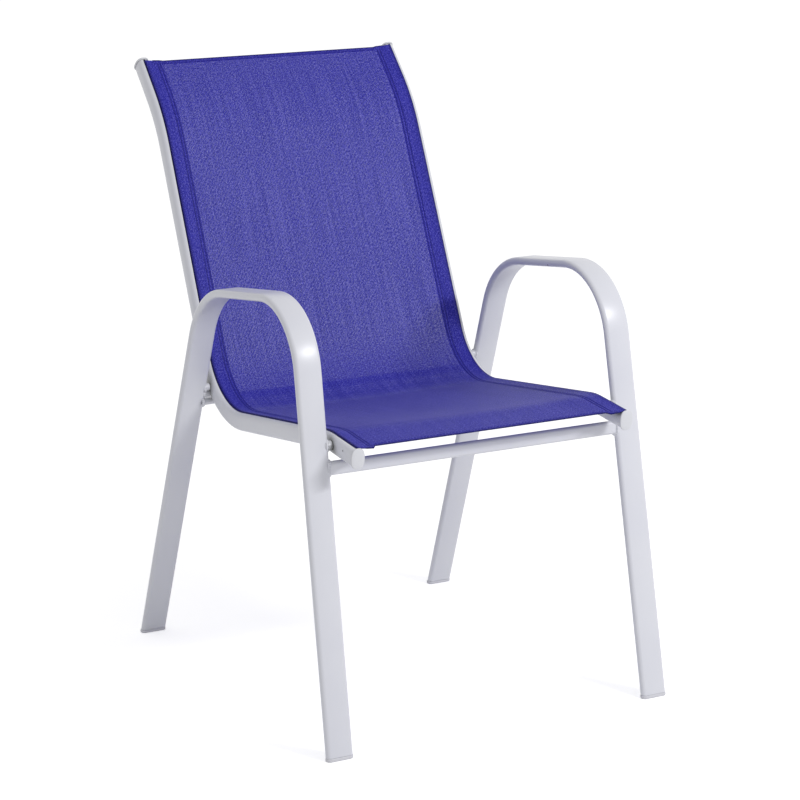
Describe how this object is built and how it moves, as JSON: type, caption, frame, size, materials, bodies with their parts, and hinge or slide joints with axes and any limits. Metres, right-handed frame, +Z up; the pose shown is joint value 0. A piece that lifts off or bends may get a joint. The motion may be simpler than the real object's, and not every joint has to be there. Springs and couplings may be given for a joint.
{
  "type": "sling patio chair",
  "caption": "Stacking patio armchair: bent flat-oval steel side loops, crossbars and slotted rails holding a stretched woven mesh sling seat and back.",
  "frame": {"origin": "middle of the chair's box, on the floor under it", "axes": "+Z up; the sitter faces -Y; X across the chair, +X at the sitter's left"},
  "size_m": [0.5512, 0.7394, 0.8829],
  "materials": {
    "frame_paint": "smooth semi-gloss white-grey powder coat",
    "cap_plastic": "fine satin",
    "glide_plastic": "fine satin",
    "bolt_zinc": "bright zinc plate",
    "sling_mesh": "blue woven vinyl-coated polyester mesh",
    "rod_plastic": "extruded cord"
  },
  "bodies": {
    "root": {"side_frame_left": "frame_paint", "sling_rail_left": "frame_paint", "keder_rod_left": "rod_plastic", "rail_top_cap_left": "cap_plastic", "rail_front_cap_left": "cap_plastic", "foot_glide_front_left": "glide_plastic", "weld_bead_front_left": "frame_paint", "rail_spacer_front_left": "frame_paint", "rail_bolt_front_left": "bolt_zinc", "foot_glide_rear_left": "glide_plastic", "weld_bead_rear_left": "frame_paint", "rail_spacer_rear_left": "frame_paint", "rail_bolt_rear_left": "bolt_zinc", "side_frame_right": "frame_paint", "sling_rail_right": "frame_paint", "keder_rod_right": "rod_plastic", "rail_top_cap_right": "cap_plastic", "rail_front_cap_right": "cap_plastic", "foot_glide_front_right": "glide_plastic", "weld_bead_front_right": "frame_paint", "rail_spacer_front_right": "frame_paint", "rail_bolt_front_right": "bolt_zinc", "foot_glide_rear_right": "glide_plastic", "weld_bead_rear_right": "frame_paint", "rail_spacer_rear_right": "frame_paint", "rail_bolt_rear_right": "bolt_zinc", "crossbar_front": "frame_paint", "crossbar_rear": "frame_paint", "sling_fabric": "sling_mesh"}
  },
  "joints": []
}
